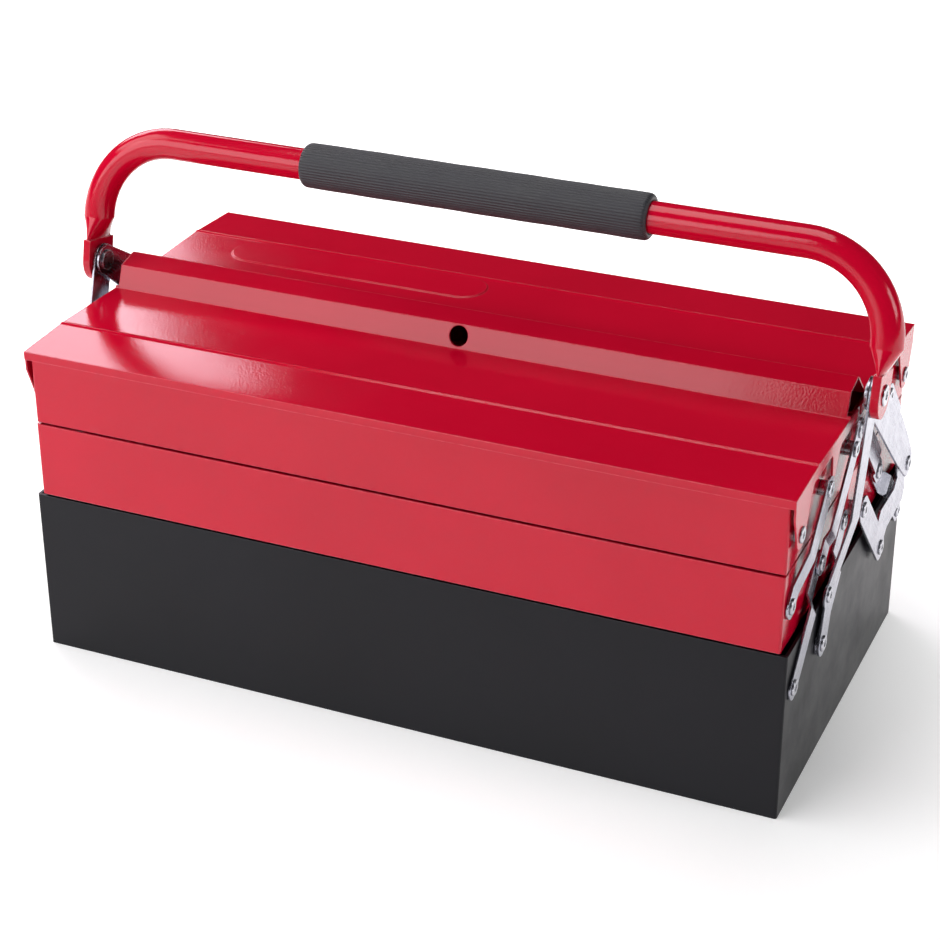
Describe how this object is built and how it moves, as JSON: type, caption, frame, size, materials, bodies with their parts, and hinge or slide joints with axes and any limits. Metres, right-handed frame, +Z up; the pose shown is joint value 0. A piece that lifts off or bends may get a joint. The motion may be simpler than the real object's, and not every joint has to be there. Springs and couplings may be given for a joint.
{
  "type": "cantilever toolbox",
  "caption": "Metal cantilever toolbox: open base tray, middle and lidded upper trays on parallel links that spread to both sides, and a tubular bail handle with a foam grip.",
  "frame": {"origin": "centre of the base tray's underside", "axes": "+X along the box's length to the right seen from the front, +Y to the rear, +Z up"},
  "size_m": [0.439, 0.2096, 0.26],
  "materials": {
    "red_paint": "gloss enamel on sheet steel",
    "charcoal_paint": "satin enamel on sheet steel",
    "bright_plate": "bright zinc plate",
    "rivet_steel": "plated rivet",
    "foam_grip": "ribbed matt foam"
  },
  "bodies": {
    "base": {"base_floor": "charcoal_paint", "base_front_wall": "charcoal_paint", "base_rear_wall": "charcoal_paint", "base_end_right": "charcoal_paint", "base_end_left": "charcoal_paint", "base_rivets": "rivet_steel"},
    "front_outer_lower_links": {"front_outer_lower_link_right": "bright_plate", "front_outer_lower_link_left": "bright_plate"},
    "front_inner_lower_links": {"front_inner_lower_link_right": "bright_plate", "front_inner_lower_link_left": "bright_plate"},
    "front_mid_tray": {"front_mid_tray": "red_paint", "front_mid_tray_rivets": "rivet_steel"},
    "front_outer_upper_links": {"front_outer_upper_link_right": "bright_plate", "front_outer_upper_link_left": "bright_plate"},
    "front_inner_upper_links": {"front_inner_upper_link_right": "bright_plate", "front_inner_upper_link_left": "bright_plate", "link_stop_rivets": "rivet_steel"},
    "front_upper_tray": {"front_upper_tray": "red_paint", "front_upper_tray_rivets": "rivet_steel"},
    "front_lid": {"front_lid": "red_paint"},
    "rear_crank_plates": {"rear_crank_plate_right": "bright_plate", "rear_crank_plate_left": "bright_plate"},
    "rear_outer_lower_links": {"rear_outer_lower_link_right": "bright_plate", "rear_outer_lower_link_left": "bright_plate"},
    "rear_mid_tray": {"rear_mid_tray": "red_paint", "rear_mid_tray_rivets": "rivet_steel"},
    "rear_outer_upper_links": {"rear_outer_upper_link_right": "bright_plate", "rear_outer_upper_link_left": "bright_plate"},
    "rear_inner_upper_links": {"rear_inner_upper_link_right": "bright_plate", "rear_inner_upper_link_left": "bright_plate"},
    "rear_upper_tray": {"rear_upper_tray": "red_paint", "rear_upper_tray_rivets": "rivet_steel"},
    "rear_lid": {"rear_lid": "red_paint"},
    "handle_arms": {"handle_arm_right": "bright_plate", "handle_arm_left": "bright_plate", "arm_boss_rivets": "rivet_steel", "handle_rivets": "rivet_steel"},
    "handle_stays": {"handle_stay_right": "bright_plate", "handle_stay_left": "bright_plate", "stay_rivets": "rivet_steel"},
    "handle": {"handle_tube": "red_paint", "handle_grip": "foam_grip"}
  },
  "joints": [
    {"name": "rear_crank_swing", "type": "hinge", "parent": "base", "child": "rear_crank_plates", "pos_m": [0, 0.051, 0.068], "axis": [-1, 0, 0], "range_deg": [0, 90]},
    {"name": "rear_outer_lower_swing", "type": "hinge", "parent": "base", "child": "rear_outer_lower_links", "pos_m": [0, 0.094, 0.068], "axis": [-1, 0, 0], "range_deg": [0, 90]},
    {"name": "rear_mid_tray_level", "type": "hinge", "parent": "rear_crank_plates", "child": "rear_mid_tray", "pos_m": [0, 0.008, 0.111], "axis": [1, 0, 0], "range_deg": [0, 90]},
    {"name": "rear_outer_upper_swing", "type": "hinge", "parent": "rear_mid_tray", "child": "rear_outer_upper_links", "pos_m": [0, 0.095, 0.111], "axis": [-1, 0, 0], "range_deg": [0, 90]},
    {"name": "rear_inner_upper_swing", "type": "hinge", "parent": "rear_mid_tray", "child": "rear_inner_upper_links", "pos_m": [0, 0.051, 0.111], "axis": [-1, 0, 0], "range_deg": [0, 90]},
    {"name": "rear_upper_tray_level", "type": "hinge", "parent": "rear_inner_upper_links", "child": "rear_upper_tray", "pos_m": [0, 0.01, 0.152], "axis": [1, 0, 0], "range_deg": [0, 90]},
    {"name": "rear_lid_hinge", "type": "hinge", "parent": "rear_upper_tray", "child": "rear_lid", "pos_m": [0, 0.092, 0.147], "axis": [-1, 0, 0], "range_deg": [0, 105]},
    {"name": "front_inner_lower_swing", "type": "hinge", "parent": "base", "child": "front_inner_lower_links", "pos_m": [0, -0.051, 0.068], "axis": [1, 0, 0], "range_deg": [0, 90]},
    {"name": "front_outer_lower_swing", "type": "hinge", "parent": "base", "child": "front_outer_lower_links", "pos_m": [0, -0.094, 0.068], "axis": [1, 0, 0], "range_deg": [0, 90]},
    {"name": "front_mid_tray_level", "type": "hinge", "parent": "front_inner_lower_links", "child": "front_mid_tray", "pos_m": [0, -0.008, 0.111], "axis": [-1, 0, 0], "range_deg": [0, 90]},
    {"name": "front_outer_upper_swing", "type": "hinge", "parent": "front_mid_tray", "child": "front_outer_upper_links", "pos_m": [0, -0.095, 0.111], "axis": [1, 0, 0], "range_deg": [0, 90]},
    {"name": "front_inner_upper_swing", "type": "hinge", "parent": "front_mid_tray", "child": "front_inner_upper_links", "pos_m": [0, -0.051, 0.111], "axis": [1, 0, 0], "range_deg": [0, 90]},
    {"name": "front_upper_tray_level", "type": "hinge", "parent": "front_inner_upper_links", "child": "front_upper_tray", "pos_m": [0, -0.01, 0.152], "axis": [-1, 0, 0], "range_deg": [0, 90]},
    {"name": "front_lid_hinge", "type": "hinge", "parent": "front_upper_tray", "child": "front_lid", "pos_m": [0, -0.092, 0.147], "axis": [1, 0, 0], "range_deg": [0, 105]},
    {"name": "handle_arm_swing", "type": "hinge", "parent": "base", "child": "handle_arms", "pos_m": [0, -0.051, 0.068], "axis": [-1, 0, 0], "range_deg": [0, 27.92]},
    {"name": "handle_stay_swing", "type": "hinge", "parent": "rear_crank_plates", "child": "handle_stays", "pos_m": [0, 0.083, 0.102], "axis": [1, 0, 0], "range_deg": [0, 62.92]},
    {"name": "handle_tilt", "type": "hinge", "parent": "handle_arms", "child": "handle", "pos_m": [0, -0.0135, 0.184], "axis": [1, 0, 0], "range_deg": [-20, 26]}
  ],
  "couplings": [
    {"joint": "rear_outer_lower_swing", "follows": "rear_crank_swing", "ratio": 1},
    {"joint": "rear_mid_tray_level", "follows": "rear_crank_swing", "ratio": 1},
    {"joint": "rear_outer_upper_swing", "follows": "rear_crank_swing", "ratio": 1},
    {"joint": "rear_inner_upper_swing", "follows": "rear_crank_swing", "ratio": 1},
    {"joint": "rear_upper_tray_level", "follows": "rear_crank_swing", "ratio": 1},
    {"joint": "front_inner_lower_swing", "follows": "rear_crank_swing", "ratio": 1},
    {"joint": "front_outer_lower_swing", "follows": "rear_crank_swing", "ratio": 1},
    {"joint": "front_mid_tray_level", "follows": "rear_crank_swing", "ratio": 1},
    {"joint": "front_outer_upper_swing", "follows": "rear_crank_swing", "ratio": 1},
    {"joint": "front_inner_upper_swing", "follows": "rear_crank_swing", "ratio": 1},
    {"joint": "front_upper_tray_level", "follows": "rear_crank_swing", "ratio": 1},
    {"joint": "handle_arm_swing", "follows": "rear_crank_swing", "ratio": 0.31012},
    {"joint": "handle_stay_swing", "follows": "rear_crank_swing", "ratio": 0.69895}
  ]
}
